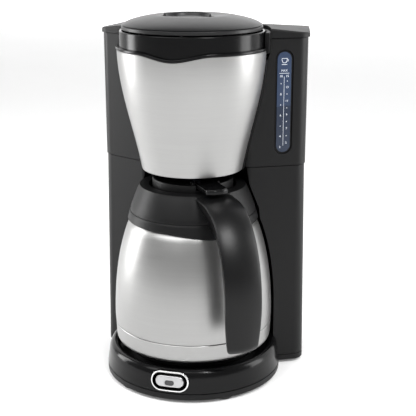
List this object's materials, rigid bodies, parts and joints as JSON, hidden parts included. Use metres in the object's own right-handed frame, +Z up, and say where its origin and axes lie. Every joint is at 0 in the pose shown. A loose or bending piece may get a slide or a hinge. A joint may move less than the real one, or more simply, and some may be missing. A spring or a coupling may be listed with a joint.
{
  "type": "drip coffee maker",
  "caption": "Drip coffee maker with a rear water tank, a waisted steel-faced brew housing under a hinged lid, and a thermal jug on a round base.",
  "frame": {"origin": "centre of the machine's bounding box, on the surface it stands on", "axes": "+Z up, -Y out of the front where the switch is, +X to the right seen from the front"},
  "size_m": [0.2, 0.206, 0.34],
  "materials": {
    "satin_black": "satin moulded",
    "gloss_black": "gloss moulded",
    "lid_black": "satin moulded",
    "handle_black": "soft satin",
    "inner_plastic": "moulded",
    "brushed_steel": "horizontal brushing",
    "liner_steel": "drawn",
    "bezel_metal": "bright",
    "button_metal": "satin",
    "smoked_lens": "smoked",
    "window_blue": "tinted",
    "rubber": "matt",
    "silicone": "translucent",
    "aluminium": "drawn",
    "fixing_steel": "plated",
    "ceramic_white": "moulded"
  },
  "bodies": {
    "machine": {"bottom_plate": "inner_plastic", "foot_1": "rubber", "foot_2": "rubber", "foot_3": "rubber", "foot_4": "rubber", "plate_screw_1": "fixing_steel", "plate_screw_2": "fixing_steel", "plate_screw_3": "fixing_steel", "plate_screw_4": "fixing_steel", "base_shell": "gloss_black", "jug_rest_plate": "satin_black", "switch_bezel": "bezel_metal", "switch_body": "inner_plastic", "column_shell": "satin_black", "rear_cover": "satin_black", "cord_gland": "rubber", "water_tank": "satin_black", "level_window": "window_blue", "top_cap": "satin_black", "hinge_pin": "fixing_steel", "brew_housing": "satin_black", "front_panel": "brushed_steel", "panel_trim": "gloss_black", "collar_band": "gloss_black", "rear_frame": "satin_black", "filter_basket": "inner_plastic", "drip_spring": "fixing_steel", "flow_heater": "aluminium", "hot_hose": "silicone", "cold_hose": "silicone", "check_valve": "inner_plastic", "inlet_pipe": "silicone", "riser_tube": "inner_plastic", "spray_head": "inner_plastic", "riser_grommet": "rubber", "inlet_grommet": "rubber", "thermostat": "ceramic_white", "thermal_fuse": "ceramic_white", "terminal_block": "ceramic_white"},
    "lid": {"lid": "lid_black"},
    "button": {"power_button": "button_metal", "button_lens": "smoked_lens"},
    "drip_stop": {"drip_valve": "inner_plastic", "drip_seal": "silicone"},
    "jug": {"jug_shell": "brushed_steel", "jug_base_cap": "brushed_steel", "jug_liner": "liner_steel", "jug_collar": "satin_black", "jug_band": "satin_black", "jug_handle": "handle_black", "handle_screw": "fixing_steel"},
    "jug_lid": {"jug_lid": "satin_black", "lid_gasket": "silicone", "lever_pin": "fixing_steel", "valve_spring": "fixing_steel"},
    "lever": {"thumb_lever": "gloss_black"},
    "pour_valve": {"pour_valve": "inner_plastic"}
  },
  "joints": [
    {"name": "lid_hinge", "type": "hinge", "parent": "machine", "child": "lid", "pos_m": [0, 0.09327, 0.323], "axis": [-1, 0, 0], "range_deg": [0, 95]},
    {"name": "button_press", "type": "slide", "parent": "machine", "child": "button", "axis": [0, 0.9877, -0.1564], "range_m": [0, 0.0022], "stiffness_N_per_m": 300},
    {"name": "jug_draw", "type": "slide", "parent": "machine", "child": "jug", "axis": [0, -1, 0], "range_m": [0, 0.2]},
    {"name": "drip_drop", "type": "slide", "parent": "machine", "child": "drip_stop", "axis": [0, 0, -1], "range_m": [0, 0.004], "deforming": ["drip_spring"]},
    {"name": "jug_lid_turn", "type": "hinge", "parent": "jug", "child": "jug_lid", "pos_m": [0, -0.00173, 0.18], "axis": [0, 0, 1], "range_deg": [0, 45]},
    {"name": "lever_press", "type": "hinge", "parent": "jug_lid", "child": "lever", "pos_m": [0.01822, -0.02681, 0.1904], "axis": [0.809, 0.5878, 0], "range_deg": [0, 5], "stiffness_Nm_per_rad": 0.6},
    {"name": "pour_valve_drop", "type": "slide", "parent": "jug_lid", "child": "pour_valve", "axis": [0, 0, -1], "range_m": [0, 0.003], "deforming": ["valve_spring"]}
  ],
  "couplings": [
    {"joint": "drip_drop", "follows": "jug_draw", "ratio": 0.02},
    {"joint": "pour_valve_drop", "follows": "lever_press", "m_per_rad": 0.0343}
  ]
}
